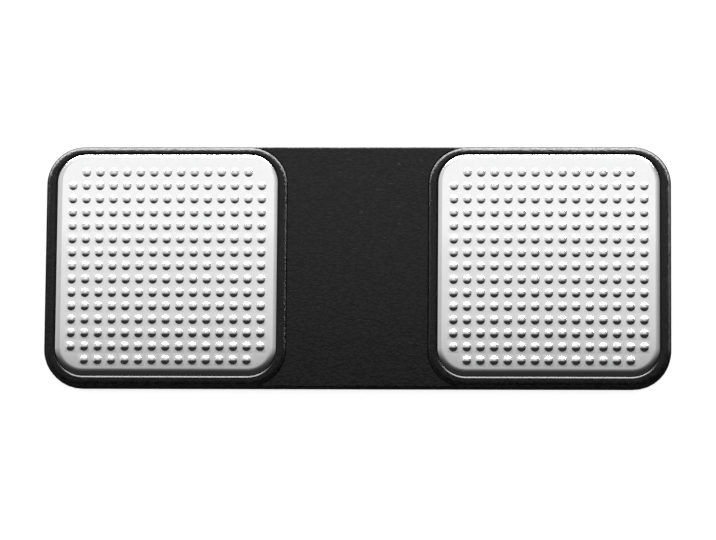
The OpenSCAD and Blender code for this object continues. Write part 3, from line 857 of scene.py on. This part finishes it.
# %% End caps of the small parts
CAP_SHARE = 0.24
for node in ("board_capacitors", "board_resistors"):
    bm = bmesh.new()
    bm.from_mesh(dressed[node].data)
    waiting = set(bm.verts)
    parts = []
    while waiting:
        found = [waiting.pop()]
        part = set(found)
        while found:
            near = {edge.other_vert(vert) for vert in found for edge in vert.link_edges} - part
            part |= near
            found = list(near)
        waiting -= part
        xs = [vert.co.x for vert in part]
        parts.append((part, min(xs), max(xs)))
    for part, low_x, high_x in parts:
        cap = CAP_SHARE * (high_x - low_x)
        for cut_x in (low_x + cap, high_x - cap):
            faces = {face for vert in part for face in vert.link_faces}
            edges = {edge for face in faces for edge in face.edges}
            made = bmesh.ops.bisect_plane(bm, geom=list(part) + list(edges) + list(faces), dist=1e-8,
                                          plane_co=(cut_x, 0, 0), plane_no=(1, 0, 0))
            part |= {item for item in made["geom"] if isinstance(item, bmesh.types.BMVert)}
        for face in {face for vert in part for face in vert.link_faces}:
            middle_x = face.calc_center_median().x
            face.material_index = int(middle_x < low_x + cap or middle_x > high_x - cap)
    bm.to_mesh(dressed[node].data)
    bm.free()
    dressed[node].data.materials.append(FINISHES["solder"])
    smooth(dressed[node], SHARP)
    print(node, len(parts), "parts")

# %% [markdown]
# ## The floor and the light
# The bar was photographed on white. A broad light hangs above it and another stands
# behind it, beyond +Y. Something dark stands over the near side, and it gives every
# bump its dark crescent: here that is a black flag which only reflections see.

# %% Floor
bm = bmesh.new()
bmesh.ops.create_grid(bm, x_segments=1, y_segments=1, size=2)
floor = as_object("floor", bm)
floor_paint, nodes, links, shader = new_material("white_table")
ray = nodes.new("ShaderNodeLightPath")
PAPER = (0.85, 0.85, 0.85)
# what the bar mirrors of the floor is much darker than what the camera sees
MIRRORED_PAPER = (0.04, 0.04, 0.04)
PAPER_GLOW = 0.6
shader.inputs["Roughness"].default_value = 0.9
shader.inputs["Specular IOR Level"].default_value = 0
shader.inputs["Emission Color"].default_value = (1, 1, 1, 1)
seen = calculate(nodes, links, "MULTIPLY", ray.outputs["Is Camera Ray"], PAPER_GLOW)
links.new(seen, shader.inputs["Emission Strength"])
tone = blend(nodes, links, ray.outputs["Is Glossy Ray"], PAPER, MIRRORED_PAPER)
links.new(tone, shader.inputs["Base Color"])
floor.data.materials.append(floor_paint)
print("floor at height", floor.data.vertices[0].co.z)

# %% World
# how bright the white room is for everything but the camera
AROUND = 0.72
world = bpy.data.worlds.new("studio")
scene.world = world
world.use_nodes = True
nodes, links = world.node_tree.nodes, world.node_tree.links
ray = nodes.new("ShaderNodeLightPath")
seen = calculate(nodes, links, "MAXIMUM", ray.outputs["Is Camera Ray"], AROUND)
links.new(seen, nodes["Background"].inputs["Strength"])
nodes["Background"].inputs["Color"].default_value = (1, 1, 1, 1)
print("white room at", AROUND, "for the bar")


# %% Lights
def softbox(name, place, size, brightness):
    """A flat lamp that looks at the bar, as bright as so many times white."""
    data = bpy.data.lights.new(name, "AREA")
    data.shape = "RECTANGLE"
    data.size, data.size_y = size
    data.energy = brightness * math.pi * size[0] * size[1]
    lamp = bpy.data.objects.new(name, data)
    scene.collection.objects.link(lamp)
    lamp.location = place
    lamp.rotation_euler = (-Vector(place)).to_track_quat("-Z", "Y").to_euler()
    lamp.visible_camera = False
    return lamp


# each lamp's name, place and size in metres, and brightness
LAMPS = [
    ("top_light", (0, 0.19, 0.62), (0.7, 0.44), 0.37),
    ("back_light", (0.05, 0.62, 0.42), (0.8, 0.5), 0.35),
]
lamps = [softbox(*lamp) for lamp in LAMPS]
print("lamps of", [round(lamp.data.energy, 3) for lamp in lamps], "W")

# %% [markdown]
# What steel and glossy plastic mirror is shaped with cards, as in a studio. Each card
# here is a flat sheet that only reflections see, so it casts no shadow. Its edge fades
# by stops along one axis, which keeps every reflection soft.

# %% Cards that only reflections see
def card(name, near, far, sides):
    """A flat card from near to far, both (y, z), between the two x values of sides."""
    bm = bmesh.new()
    corners = bmesh.ops.create_grid(bm, x_segments=1, y_segments=1, size=0.5)["verts"]
    near, far = Vector((0, *near)), Vector((0, *far))
    slope = math.atan2(far.z - near.z, far.y - near.y)
    bmesh.ops.scale(bm, vec=(sides[1] - sides[0], (far - near).length, 1), verts=corners)
    bmesh.ops.rotate(bm, cent=(0, 0, 0), matrix=Matrix.Rotation(slope, 3, "X"), verts=corners)
    bmesh.ops.translate(bm, vec=(near + far) / 2 + Vector((sum(sides) / 2, 0, 0)), verts=corners)
    sheet = as_object(name, bm)
    sheet.visible_camera = False
    sheet.visible_diffuse = False
    sheet.visible_shadow = False
    sheet.visible_transmission = False
    return sheet


def along(nodes, links, axis, stops):
    """Levels along an axis of the object, each stop a place in mm and its level."""
    where = nodes.new("ShaderNodeTexCoord")
    split = nodes.new("ShaderNodeSeparateXYZ")
    links.new(where.outputs["Object"], split.inputs["Vector"])
    return levels(nodes, links, split.outputs[axis], [(place * MM, level) for place, level in stops])


# %% The black flag, with a soft near edge
FLAG_NEAR = (-150 * MM, 24 * MM)
FLAG_FAR = (10 * MM, 39 * MM)
FLAG_SIDES = (-110 * MM, 110 * MM)
# places along Y in mm, and how much the flag covers there
FLAG_COVER = [(-26, 0.96), (-18, 0.88), (-7.1, 0.46), (-3.6, 0.31), (-0.7, 0.26), (4.3, 0.19),
              (11.4, 0.1), (20, 0)]
flag = card("flag", FLAG_NEAR, FLAG_FAR, FLAG_SIDES)
flag_cloth, nodes, links, shader = new_material("black_flag")
shader.inputs["Base Color"].default_value = (0, 0, 0, 1)
shader.inputs["Specular IOR Level"].default_value = 0
links.new(along(nodes, links, "Y", FLAG_COVER), shader.inputs["Alpha"])
flag.data.materials.append(flag_cloth)
print("black flag", (FLAG_SIDES[1] - FLAG_SIDES[0]) / MM, "mm wide")

# %% The dark wall to the right, which only low reflections see
WALL_X = 225 * MM
WALL_REACH = 400 * MM
WALL_HEIGHT = 300 * MM
# heights in mm, and how much the wall covers there
WALL_COVER = [(0, 0.95), (50, 0.88), (106, 0.68), (180, 0.3), (290, 0)]
wall = card("dark_wall", (-WALL_REACH, 0), (WALL_REACH, 0), (0, WALL_HEIGHT))
# The card is made flat and then stood up, so that its x becomes its height.
for vert in wall.data.vertices:
    vert.co = (WALL_X, vert.co.y, vert.co.x)
wall_paint, nodes, links, shader = new_material("dark_wall")
shader.inputs["Base Color"].default_value = (0, 0, 0, 1)
shader.inputs["Specular IOR Level"].default_value = 0
links.new(along(nodes, links, "Z", WALL_COVER), shader.inputs["Alpha"])
wall.data.materials.append(wall_paint)
print("dark wall at x", WALL_X / MM, "mm")

# %% The bright card behind
GLOW_NEAR = (24 * MM, 0.5 * MM)
GLOW_FAR = (200 * MM, 112 * MM)
GLOW_SIDES = (-90 * MM, 320 * MM)
# heights in mm, and the share of the full brightness there
GLOW_SHARES = [(0, 1), (62, 1), (80, 0.2), (112, 0.06)]
GLOW_BRIGHTNESS = 33
glow = card("bright_card", GLOW_NEAR, GLOW_FAR, GLOW_SIDES)
glow_paint, nodes, links, shader = new_material("bright_card")
shader.inputs["Base Color"].default_value = (0, 0, 0, 1)
shader.inputs["Emission Color"].default_value = (1, 1, 1, 1)
strength = calculate(nodes, links, "MULTIPLY", along(nodes, links, "Z", GLOW_SHARES), GLOW_BRIGHTNESS)
links.new(strength, shader.inputs["Emission Strength"])
glow.data.materials.append(glow_paint)
print("bright card up to", GLOW_FAR[1] / MM, "mm high")
